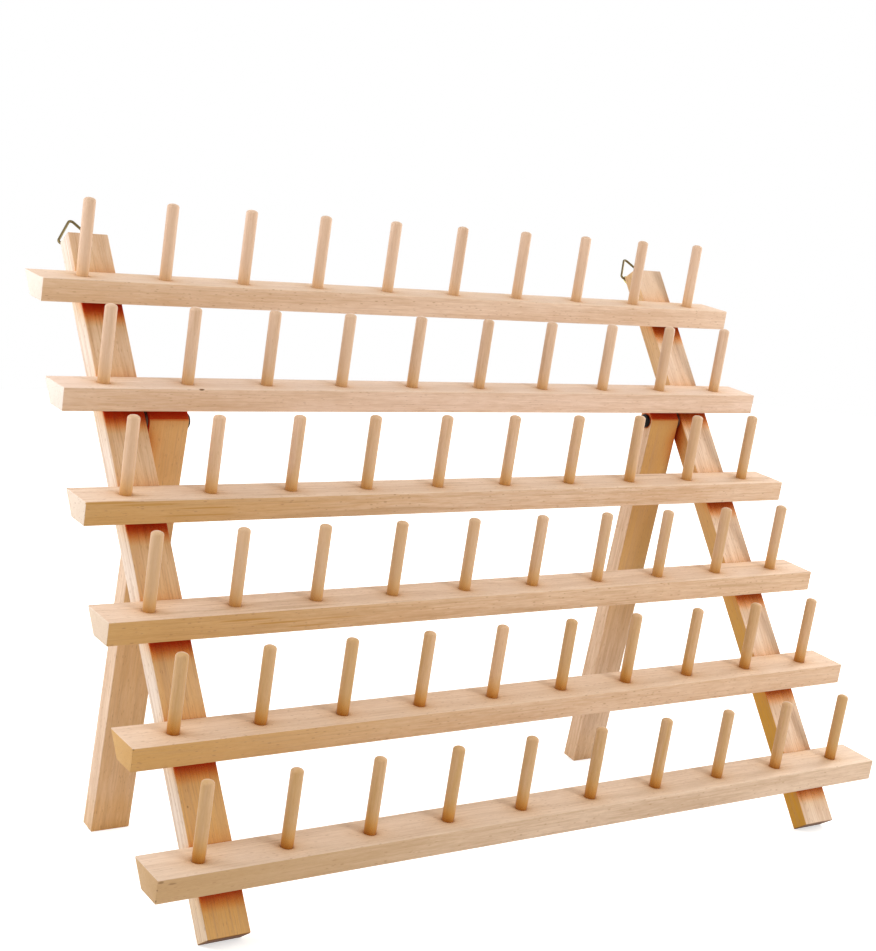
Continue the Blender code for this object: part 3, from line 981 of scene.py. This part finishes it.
# A pan head from its middle to its seat: how far out and how far down each point is, as shares.
PAN_HEAD = (
    (0.0, 0.0), (0.30, 0.015), (0.55, 0.06), (0.76, 0.16), (0.90, 0.33), (0.975, 0.55), (1.0, 0.78), (1.0, 0.97),
    (0.985, 1.0),
)


@dataclass(frozen=True)
class Screw:
    """A turned screw, its head's top at Z = 0 and its shank down Z.

    The cross recess goes by shares: reach and half width by the head's radius, depth by its height,
    the floor by the mouth and the cutter's lift by the depth.
    """

    head_radius: float
    head_height: float
    shank_radius: float
    length: float
    facets: int = 40
    tip_taper: float = 1.8
    cross_reach: float = 0.60
    cross_half: float = 0.15
    cross_depth: float = 0.72
    cross_floor: float = 0.45
    cross_lift: float = 0.02

    def head_profile(self) -> list[tuple[float, float]]:
        """The head's (radius, height) points from its top down to its seat."""
        return [(self.head_radius * out, -self.head_height * down) for out, down in PAN_HEAD]

    def cross_cutter(self) -> Blank:
        """The cutter of the cross recess, tapering to its bottom and a little proud of Z = 0.

        Returns:
            The cutter.
        """
        half, depth = self.head_radius * self.cross_half, self.head_height * self.cross_depth
        arm_length = self.head_radius * self.cross_reach - half
        made = Blank()
        bmesh.ops.create_grid(made.shape, x_segments=1, y_segments=1, size=half)
        for edge in list(made.shape.edges):
            middle = (edge.verts[0].co + edge.verts[1].co) / 2
            arm = bmesh.ops.extrude_edge_only(made.shape, edges=[edge])
            tips = of_kind(BMVert, arm["geom"])
            bmesh.ops.translate(made.shape, verts=tips, vec=middle.normalized() * arm_length)
        top = made.shape.faces[:]
        floor = bmesh.ops.extrude_face_region(made.shape, geom=top, use_keep_orig=True)
        sunk = of_kind(BMVert, floor["geom"])
        bmesh.ops.scale(made.shape, verts=sunk, vec=(self.cross_floor, self.cross_floor, 1.0))
        bmesh.ops.translate(made.shape, verts=sunk, vec=(0.0, 0.0, -depth))
        made.closed()
        rim = [v for v in made.shape.verts if v.co.z > -depth / 2]
        bmesh.ops.translate(made.shape, verts=rim, vec=(0.0, 0.0, depth * self.cross_lift))
        return made

    def blank(self) -> Blank:
        """The whole screw with its cross recess.

        Returns:
            The screw.
        """
        end = -self.head_height - self.length
        tip = end + self.tip_taper * self.shank_radius
        shank = [(self.shank_radius, -self.head_height), (self.shank_radius, tip), (0.0, end)]
        return Blank.turned(self.head_profile() + shank, self.facets).cut(self.cross_cutter())


@dataclass(frozen=True)
class RailScrew(Screw):
    """A countersunk screw that holds a rail on a leg, driven from behind."""

    head_radius: float = 0.0028
    head_height: float = 0.0018
    shank_radius: float = 0.0015
    length: float = 0.0143
    rim: float = 0.00012
    next_turn: float = 0.7

    @classmethod
    def head_place(cls, side: Side, row: int) -> Vector:
        """The middle of a screw's flat head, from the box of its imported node.

        Args:
            side: The side of the rack.
            row: The row of its rail.

        Returns:
            The place in the rack's frame.
        """
        low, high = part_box(f"{side.label}_rail_screw_{row}")
        back = high.y - cls.head_radius * math.sin(FRONT_LEAN)
        return Vector(((low.x + high.x) / 2, back, low.z + cls.head_radius * math.cos(FRONT_LEAN)))

    def head_profile(self) -> list[tuple[float, float]]:
        """The flat head and its rim; its cone runs on to the shank."""
        radius, rim = self.head_radius, self.rim
        return [(0.0, 0.0), (radius - rim, 0.0), (radius, -rim), (radius, -2 * rim)]

    def build(self, side: Side, row: int, look: bpy.types.Material) -> None:
        """Put one screw in its place.

        Args:
            side: The side of the rack.
            row: The row of its rail.
            look: Its material.
        """
        name = f"{side.label}_rail_screw_{row}"
        driven = Matrix.Rotation(row * self.next_turn, 4, "Z")
        place = leaning_at(self.head_place(side, row)) @ FACING_BACK @ driven
        finish_piece(f"screw_{name}", self.blank(), place, look, name)


@dataclass
class Pivot:
    """The black screw that a rear leg turns on, and the washer between the two legs."""

    side: Side
    cross_turn: float = 0.35
    screw: Screw = Screw(head_radius=0.0037, head_height=0.0016, shank_radius=0.0020, length=0.0359)

    def build(self, black: bpy.types.Material, gap_shade: bpy.types.Material) -> None:
        """Make the screw and dress the washer.

        Args:
            black: The screw's material.
            gap_shade: The washer's material.
        """
        name = f"{self.side.label}_pivot_screw"
        low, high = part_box(name)
        centre = joint_place(f"{self.side.label}_rear_leg_fold")
        centre.x = high.x if self.side is Side.LEFT else low.x
        facing_in = Matrix.Rotation(-self.side.value * math.pi / 2, 4, "Y")
        place = Matrix.Translation(centre) @ facing_in @ Matrix.Rotation(self.cross_turn, 4, "Z")
        finish_piece(f"{name}_turned", self.screw.blank(), place, black, name)
        # The washer is painted dark red-brown with the shade of the gap between the legs.
        dress_node(f"{self.side.label}_pivot_washer", gap_shade)


# Hangers


@dataclass
class WireBender:
    """Bends a wire ring as a wire former does: feed a length, turn a corner, and so on."""

    radius: float
    sides: int = 14
    blank: Blank = field(default_factory=Blank)
    place: Vector = field(default_factory=lambda: Vector((0.0, 0.0, 0.0)))
    heading: Vector = field(default_factory=lambda: Vector((1.0, 0.0, 0.0)))
    end: list[BMEdge] = field(default_factory=list)

    def start(self) -> None:
        """Cut the wire's first end, facing the heading."""
        place = Matrix.Translation(self.place) @ Matrix.Rotation(math.pi / 2, 4, "Y")
        shape = self.blank.shape
        bmesh.ops.create_circle(shape, cap_ends=True, segments=self.sides, radius=self.radius, matrix=place)
        self.end = shape.edges[:]

    def feed(self, length: float) -> None:
        """Push out a straight length of wire.

        Args:
            length: How long it is.
        """
        made = bmesh.ops.extrude_edge_only(self.blank.shape, edges=self.end)
        points = of_kind(BMVert, made["geom"])
        self.end = [e for e in of_kind(BMEdge, made["geom"]) if all(v in points for v in e.verts)]
        bmesh.ops.translate(self.blank.shape, verts=points, vec=self.heading * length)
        self.place = self.place + self.heading * length

    def corner(self, angle: float, bend: float, steps: int = 8) -> None:
        """Bend the wire upwards round a former.

        Args:
            angle: How far it turns.
            bend: The radius of the bend at the middle of the wire.
            steps: The facets along the bend.
        """
        normal = Vector((-self.heading.z, 0.0, self.heading.x))
        centre = self.place + normal * bend
        axis = Vector((0.0, -1.0, 0.0))
        points = list({v for e in self.end for v in e.verts})
        made = bmesh.ops.spin(
            self.blank.shape, geom=points + self.end, cent=centre, axis=axis, angle=angle, steps=steps
        )
        self.end = of_kind(BMEdge, made["geom_last"])
        turn = Matrix.Rotation(angle, 3, axis)
        self.place = centre + turn @ (self.place - centre)
        self.heading = turn @ self.heading

    def stop(self) -> Blank:
        """Cut the wire's last end.

        Returns:
            The bent wire.
        """
        bmesh.ops.holes_fill(self.blank.shape, edges=self.end, sides=0)
        return self.blank.closed()


@dataclass
class Hanger:
    """A folded brass strap, its wire ring and its pan-head screw; its frame has the eye's middle at zero."""

    side: Side
    strap_width: float = 0.0151
    foot_facets: int = 64
    sheet: float = 0.00053
    eye_radius: float = 0.0015
    eye_facets: int = 20
    leaf_gap: float = 0.00004
    taper: float = 0.0045
    screw_drop: float = 0.0108
    screw_rise: float = 0.00145
    hole_radius: float = 0.0016
    hole_facets: int = 32
    edge_ease: float = 0.00010
    wire_radius: float = 0.00065
    base_half: float = 0.007485
    flank: float = 0.01349
    corner_bend: float = 0.0016
    corner_turn: float = math.radians(124.1)
    apex_bend: float = 0.0015
    apex_turn: float = math.radians(111.8)
    butt_gap: float = 0.00008
    ring_lean: float = math.radians(13.0)
    cross_turn: float = 0.5
    screw: Screw = Screw(head_radius=0.00275, head_height=0.0018, shank_radius=0.00125, length=0.0080)

    def build(self, brass: bpy.types.Material, wire: bpy.types.Material, zinc: bpy.types.Material) -> None:
        """Make the strap, the ring and the screw.

        Args:
            brass: The strap's material.
            wire: The ring's material.
            zinc: The screw's material.
        """
        label = self.side.label
        eye = joint_place(f"{label}_hanger_ring_swing")
        place = leaning_at(eye)
        finish_piece(f"{label}_strap", self.strap(), place, brass, f"{label}_hanger_strap")
        ring_place = place @ Matrix.Rotation(-self.ring_lean, 4, "X")
        node = body = f"{label}_hanger_ring"
        finish_piece(f"{label}_ring", self.ring(), ring_place, wire, node, body)
        head = place @ Matrix.Translation((0.0, self.screw_rise, -self.screw_drop)) @ FACING_BACK
        head = head @ Matrix.Rotation(self.cross_turn, 4, "Z")
        node = f"{label}_hanger_screw"
        finish_piece(f"{node}_turned", self.screw.blank(), head, zinc, node)

    def fold_line(self) -> list[tuple[float, float]]:
        """The outer face of the folded sheet: up the back leaf, round the eye, down the front leaf.

        Returns:
            Its (Y, Z) points.
        """
        bend = self.eye_radius
        front = 2 * self.sheet + self.leaf_gap - bend
        foot = -self.screw_drop - self.strap_width / 2 - self.sheet
        slant = math.atan2(-self.taper, front) + math.acos(bend / math.hypot(front, self.taper))
        line = [(-bend, foot), (-bend, -self.taper)]
        for step in range(self.eye_facets + 1):
            angle = math.pi + (slant - math.pi) * step / self.eye_facets
            line.append((bend * math.cos(angle), bend * math.sin(angle)))
        return line + [(front, -self.taper), (front, foot)]

    def sheet_trim(self) -> Blank:
        """The cutter of the strap's outline: straight sides and a half-round foot.

        Returns:
            The cutter.
        """
        half, depth = self.strap_width / 2, 2 * self.eye_radius
        outline = Blank()
        bmesh.ops.create_circle(outline.shape, segments=self.foot_facets, radius=half, cap_ends=True)
        outline.moved(Matrix.Translation((0.0, depth, -self.screw_drop)) @ Matrix.Rotation(math.pi / 2, 4, "X"))
        top = self.screw_drop + depth
        for point in outline.shape.verts:
            if point.co.z > -self.screw_drop - WELD:
                point.co.x = math.copysign(half, point.co.x)
                point.co.z += top if point.co.z > WELD - self.screw_drop else 0.0
        drawn = bmesh.ops.extrude_face_region(outline.shape, geom=outline.shape.faces[:], use_keep_orig=True)
        bmesh.ops.translate(outline.shape, verts=of_kind(BMVert, drawn["geom"]), vec=(0.0, -2 * depth, 0.0))
        return outline.closed()

    def strap(self) -> Blank:
        """A sheet folded on its line, trimmed to its half-round foot and holed for the screw.

        Returns:
            The strap.
        """
        sheet = Blank()
        half = self.strap_width / 2 + self.sheet
        points = [sheet.shape.verts.new((half, y, z)) for y, z in self.fold_line()]
        edges = [sheet.shape.edges.new(pair) for pair in zip(points, points[1:])]
        drawn = bmesh.ops.extrude_edge_only(sheet.shape, edges=edges)
        bmesh.ops.translate(sheet.shape, verts=of_kind(BMVert, drawn["geom"]), vec=(-2 * half, 0.0, 0.0))
        sheet.shape.normal_update()
        if sum(face.normal.y * face.calc_center_median().y for face in sheet.shape.faces) < 0:
            bmesh.ops.reverse_faces(sheet.shape, faces=sheet.shape.faces)
        bmesh.ops.solidify(sheet.shape, geom=sheet.shape.faces[:], thickness=self.sheet)
        trimmed = sheet.closed().cut(self.sheet_trim(), "INTERSECT")
        reach = 2 * self.eye_radius
        profile = [(0.0, reach), (self.hole_radius, reach), (self.hole_radius, -reach), (0.0, -reach)]
        middle = Matrix.Translation((0.0, 0.0, -self.screw_drop)) @ FACING_BACK
        hole = Blank.turned(profile, self.hole_facets).moved(middle)
        return trimmed.cut(hole).eased(self.edge_ease, segments=2, sharper_than=math.radians(50))

    def ring(self) -> Blank:
        """Wire bent to a triangle with round corners, its butt joint hidden in the eye.

        Returns:
            The ring.
        """
        bender = WireBender(self.wire_radius, place=Vector((self.butt_gap, 0.0, 0.0)))
        bender.start()
        bender.feed(self.base_half - self.butt_gap)
        bender.corner(self.corner_turn, self.corner_bend)
        bender.feed(self.flank)
        bender.corner(self.apex_turn, self.apex_bend)
        bender.feed(self.flank)
        bender.corner(self.corner_turn, self.corner_bend)
        bender.feed(self.base_half - self.butt_gap)
        return bender.stop()


# Room


@dataclass(frozen=True)
class Lamp:
    """A soft rectangular lamp."""

    name: str
    place: Triple
    width: float
    height: float
    power: float
    tint: Tone = WHITE

    def hang(self, aim: Triple) -> None:
        """Hang the lamp.

        Args:
            aim: The point that it faces.
        """
        data = bpy.data.lights.new(self.name, "AREA")
        data.shape = "RECTANGLE"
        data.size = self.width
        data.size_y = self.height
        data.energy = self.power
        data.color = self.tint
        facing = (Vector(aim) - Vector(self.place)).to_track_quat("-Z", "Y").to_matrix().to_4x4()
        put_in_scene(self.name, data).matrix_world = Matrix.Translation(self.place) @ facing


@dataclass
class Studio:
    """The camera, the floor, the lamps and the white surroundings."""

    camera_place: Triple = (-0.49279, -0.66627, 0.26021)
    yaw: float = math.radians(35.49)
    pitch: float = math.radians(5.97)
    roll: float = math.radians(2.95)
    lens: float = 65.72
    floor_size: float = 6.0
    floor_tone: Tone = (0.80, 0.80, 0.80)
    floor_glow: float = 0.60
    floor_far_glow: float = 0.98
    floor_fade: Span = (0.30, 0.95)
    sky_light: float = 0.54
    sky_tint: Tone = (0.96, 0.90, 0.78)
    aim: Triple = (0.0, 0.0, 0.13)
    cool: Tone = (0.95, 1.0, 1.10)

    def build(self) -> None:
        """Set up the whole room."""
        self.set_camera()
        self.lay_floor()
        self.set_surroundings()
        self.hang_lamps()
        bpy.context.scene.view_settings.view_transform = "Standard"

    def set_camera(self) -> None:
        """Stand the camera where the photograph was taken."""
        data = bpy.data.cameras.new("camera")
        data.lens = self.lens
        camera = put_in_scene("camera", data)
        level = Matrix.Rotation(-self.yaw, 4, "Z") @ Matrix.Rotation(math.pi / 2 - self.pitch, 4, "X")
        camera.matrix_world = Matrix.Translation(self.camera_place) @ level @ Matrix.Rotation(self.roll, 4, "Z")
        bpy.context.scene.camera = camera

    def lay_floor(self) -> None:
        """Lay the pale floor, which shows white but keeps the shadows under the rack."""
        sheet = Blank()
        bmesh.ops.create_grid(sheet.shape, x_segments=1, y_segments=1, size=self.floor_size / 2)
        mesh = sheet.mesh("floor")
        material, graph = Graph.of_material("pale_floor")
        near = graph.length(graph.places()).step_down(*self.floor_fade)
        strength = graph.seeing_rays() * (self.floor_far_glow - near * (self.floor_far_glow - self.floor_glow))
        matt = graph.node("ShaderNodeBsdfDiffuse", sockets={"Color": self.floor_tone})
        glow = graph.node("ShaderNodeEmission", sockets={"Color": WHITE, "Strength": strength})
        both = graph.node("ShaderNodeAddShader", sockets={0: matt.outputs[0], 1: glow.outputs[0]})
        graph.node("ShaderNodeOutputMaterial", sockets={"Surface": both.outputs[0]})
        mesh.materials.append(material)
        put_in_scene("floor", mesh)

    def set_surroundings(self) -> None:
        """Light the rack from all round, and show white to the camera and in gloss."""
        world = bpy.data.worlds.new("surroundings")
        world.use_nodes = True
        bpy.context.scene.world = world
        graph = Graph(world.node_tree)
        seen = graph.seeing_rays()
        strength = seen * (1.0 - self.sky_light) + self.sky_light
        tint = graph.mix(seen, self.sky_tint, WHITE)
        sky = graph.node("ShaderNodeBackground", sockets={"Color": tint, "Strength": strength})
        graph.node("ShaderNodeOutputWorld", sockets={"Surface": sky.outputs[0]})

    def hang_lamps(self) -> None:
        """Hang the soft lamps: a near one at the left, one above, a tall one in front, one at the right, one behind."""
        lamps = (
            Lamp("left_softbox", (-0.60, 0.10, 0.40), 0.30, 0.30, 1.3, self.cool),
            Lamp("top_softbox", (0.00, 0.00, 1.20), 0.80, 0.80, 1.0),
            Lamp("front_softbox", (0.40, -1.00, 0.62), 0.15, 0.90, 4.9),
            Lamp("right_side_softbox", (1.00, 0.10, 0.50), 0.60, 0.60, 6.5),
            Lamp("back_softbox", (-0.70, 0.60, 0.70), 0.60, 0.60, 3.0, self.cool),
        )
        for lamp in lamps:
            lamp.hang(self.aim)


# The boards

# The painted shade where a rail or a dowel meets other wood, and the streaks on two rails' fronts.
CONTACT_SHADE: Tone = (0.40, 0.20, 0.10)
STREAKED: Tone = (0.52, 0.27, 0.07)
# Spans deep in a piece: the first holds a leg's left side alone, the second no part of a dowel.
LEFT_SIDE: Span = (-0.00965, -0.00945)
NOWHERE: Span = (-2.0, -1.0)

RAIL = Beech(
    "beech_rail", PEG_LEAN, Grain.ALONG_X, ring_share=0.192, face_share=0.4,
    deep_share=0.5, deep_corner=(0.72, 0.50, 0.25), darkest_corner=CONTACT_SHADE,
)
FIGURED_RAIL = replace(
    RAIL, late=(0.42, 0.22, 0.07), figure_share=0.35, heart=(0.63, 0.365, 0.12), heart_share=0.84
)
# The rails' tops are painted paler with light and their left fronts darker with shade; the upper rails' left ends are
# painted paler with light.
RAIL_WOODS = (
    replace(
        RAIL, name="beech_rail_1", pith=(0.05, 0.05), pale=(0.86, 0.66, 0.52), tan=(0.73, 0.52, 0.37),
        heart_share=0.30, end_share=0.65,
    ),
    replace(
        RAIL, name="beech_rail_2", pith=(0.06, 0.03), pale=(0.88, 0.68, 0.56), tan=(0.74, 0.53, 0.39),
        fleck_share=0.35, face=(0.96, 0.82, 0.72), heart_share=0.25, end_share=0.65,
        marks=(Mark((-0.13783, 0.01248, 0.2133), (0.0017, 0.0009, 0.0007), 1.0),),
    ),
    replace(
        FIGURED_RAIL, name="beech_rail_3", pith=(0.02, 0.05), pale=(0.84, 0.64, 0.49), ring_share=0.288,
        ring_spacing=0.0042, wander=0.030, face=(0.96, 0.81, 0.70), end_share=0.60,
        marks=(
            Mark((-0.19300, -0.01290, 0.16810), (0.0190, 0.0016, 0.0008), 0.8, STREAKED),
            Mark((-0.17300, -0.01268, 0.16675), (0.0200, 0.0016, 0.0007), 0.7, STREAKED),
            Mark((-0.14600, -0.01232, 0.16460), (0.0200, 0.0016, 0.0005), 0.8, STREAKED),
            Mark((-0.15000, -0.01180, 0.16155), (0.0250, 0.0016, 0.0005), 0.7, STREAKED),
        ),
    ),
    replace(
        FIGURED_RAIL, name="beech_rail_4", pith=(-0.03, 0.05), ring_share=0.352, ring_spacing=0.0050,
        wander=0.014, face=(0.96, 0.80, 0.70), end_share=0.50,
        marks=(
            Mark((-0.13900, -0.03800, 0.12030), (0.0170, 0.0016, 0.0006), 0.8, STREAKED),
            Mark((-0.12300, -0.03755, 0.11810), (0.0180, 0.0016, 0.0006), 0.8, STREAKED),
            Mark((-0.10800, -0.03700, 0.11580), (0.0160, 0.0016, 0.0005), 0.7, STREAKED),
            Mark((-0.09600, -0.03760, 0.11840), (0.0200, 0.0016, 0.0004), 0.6, STREAKED),
        ),
    ),
    replace(
        RAIL, name="beech_rail_5", pith=(0.05, 0.05), pale=(0.82, 0.61, 0.45), ring_share=0.24,
        heart=(0.64, 0.37, 0.12), heart_share=0.89,
        marks=(Mark((-0.20168, -0.06384, 0.07796), (0.0006, 0.0006, 0.0005)),),
    ),
    replace(
        RAIL, name="beech_rail_6", pith=(0.03, 0.05), pale=(0.81, 0.62, 0.475), tan=(0.66, 0.48, 0.34),
        ring_share=0.24, ring_spacing=0.0050, wander=0.024, cloud_share=3.9, fleck_share=0.40,
        heart=(0.585, 0.37, 0.17), heart_share=0.80,
        marks=(
            Mark((-0.20060, -0.08936, 0.03250), (0.0016, 0.0010, 0.0007)),
            Mark((-0.19571, -0.08877, 0.03120), (0.0024, 0.0010, 0.0005), 0.5),
            Mark((-0.20195, -0.08868, 0.02938), (0.0006, 0.0006, 0.0005)),
            Mark((-0.20195, -0.08789, 0.02483), (0.0006, 0.0006, 0.0007)),
        ),
    ),
)

# The painted shade tone is at a dowel's foot. What is deep in a dowel runs along the rack, so the low rows' feet lose
# that painted shade from the rack's left end to its right one.
DOWEL = Beech(
    "beech_dowel", PEG_LEAN, Grain.ALONG_Z, ring_share=0.32, band_share=1.2, fleck_share=0.2,
    stock_share=0.55, heart_span=(-0.001, 0.014), face_span=NOWHERE,
    deep_corner=(0.82, 0.60, 0.12), darkest_corner=CONTACT_SHADE, sheen=0.8,
)
LOW_DOWEL = replace(DOWEL, heart=(0.66, 0.34, 0.07), face_span=(0.40, -0.25))
# From the top row down: the stock, its pale and tan tones, which darken down the rows, and the shares of the painted
# foot shade and of the golden and the deep painted corner shade.
DOWEL_ROWS = (
    (DOWEL, (0.84, 0.62, 0.47), (0.72, 0.50, 0.35), 0.15, 1.0, 0.05),
    (DOWEL, (0.83, 0.61, 0.46), (0.70, 0.48, 0.32), 0.30, 1.3, 0.10),
    (DOWEL, (0.80, 0.56, 0.40), (0.66, 0.43, 0.24), 0.55, 1.6, 0.15),
    (DOWEL, (0.80, 0.57, 0.41), (0.66, 0.43, 0.24), 0.60, 1.7, 0.20),
    (LOW_DOWEL, (0.77, 0.52, 0.34), (0.61, 0.38, 0.17), 0.95, 2.7, 0.50),
    (LOW_DOWEL, (0.76, 0.52, 0.35), (0.61, 0.38, 0.17), 1.00, 2.8, 0.50),
)
PEG_WOODS = tuple(
    replace(
        stock, name=f"beech_pegs_{row}", pale=pale, tan=tan, heart_share=foot, corner_share=corner, deep_share=deep
    )
    for row, (stock, pale, tan, foot, corner, deep) in enumerate(DOWEL_ROWS, 1)
)

LEG = Beech("beech_leg", REAR_LEAN, Grain.ALONG_Z, streak_share=0.3, face_span=LEFT_SIDE, deep_share=1.0)
# A front leg's foot is painted dark with shade.
FRONT_LEG = replace(LEG, lean=-FRONT_LEAN, end=(0.10, 0.03, 0.015), end_share=0.9, end_span=(-0.1578, -0.1573))
# The left front leg's left side is painted pale with light; the right front leg's front is painted paler with light,
# its left side with shade that deepens towards its foot, and its top darker with shade.
FRONT_LEG_WOODS = {
    Side.LEFT: replace(
        FRONT_LEG, name="beech_left_front_leg", pale=(0.78, 0.59, 0.43), streak_share=0.45,
        heart_share=0.95, heart_span=(-0.16, 0.12), face=(0.92, 0.83, 0.75), face_share=0.7,
        corner_share=2.2, marks=(Mark((-0.17539, -0.06036, 0.0508), (0.0005, 0.001, 0.0006)),),
    ),
    Side.RIGHT: replace(
        FRONT_LEG, name="beech_right_front_leg", pale=(0.92, 0.75, 0.62), tan=(0.80, 0.60, 0.46),
        heart=(0.72, 0.53, 0.38), heart_share=0.6, heart_span=(0.150, 0.115),
        face=(0.64, 0.345, 0.05), face_share=0.55, face_gain=0.5,
        corner_share=1.5, darkest_corner=(0.55, 0.22, 0.06),
    ),
}
# The rear legs are painted darker with shade along the grain; the left one's left side a little paler with light.
REAR_LEG_WOODS = {
    Side.LEFT: replace(
        LEG, name="beech_left_rear_leg", heart_share=0.8, heart_span=(0.11, -0.30), face_share=0.15,
        corner_share=2.2,
    ),
    Side.RIGHT: replace(
        LEG, name="beech_right_rear_leg", heart=(0.62, 0.36, 0.12), heart_share=0.95, heart_span=(0.03, -0.06),
        corner_share=1.2,
    ),
}


def main() -> None:
    """Build the rack's looks, piece by piece."""
    logging.basicConfig(level=logging.INFO, format="%(message)s")
    Studio().build()
    for row, (wood, dowel) in enumerate(zip(RAIL_WOODS, PEG_WOODS), 1):
        PegRail(row, wood, dowel).build()
    Legs(Leg.FRONT, FRONT_LEG_WOODS).build()
    Legs(Leg.REAR, REAR_LEG_WOODS).build()
    zinc, brass, wire = ZINC.material(), BRASS.material(), WIRE_BRASS_PAINTED_DARK.material()
    black, gap_shade = BLACK.material(), GAP_SHADE_WASHER.material()
    for side in Side:
        for row in range(1, len(RAIL_WOODS) + 1):
            RailScrew().build(side, row, zinc)
        Pivot(side).build(black, gap_shade)
        Hanger(side).build(brass, wire, zinc)


if __name__ == "__main__":
    main()
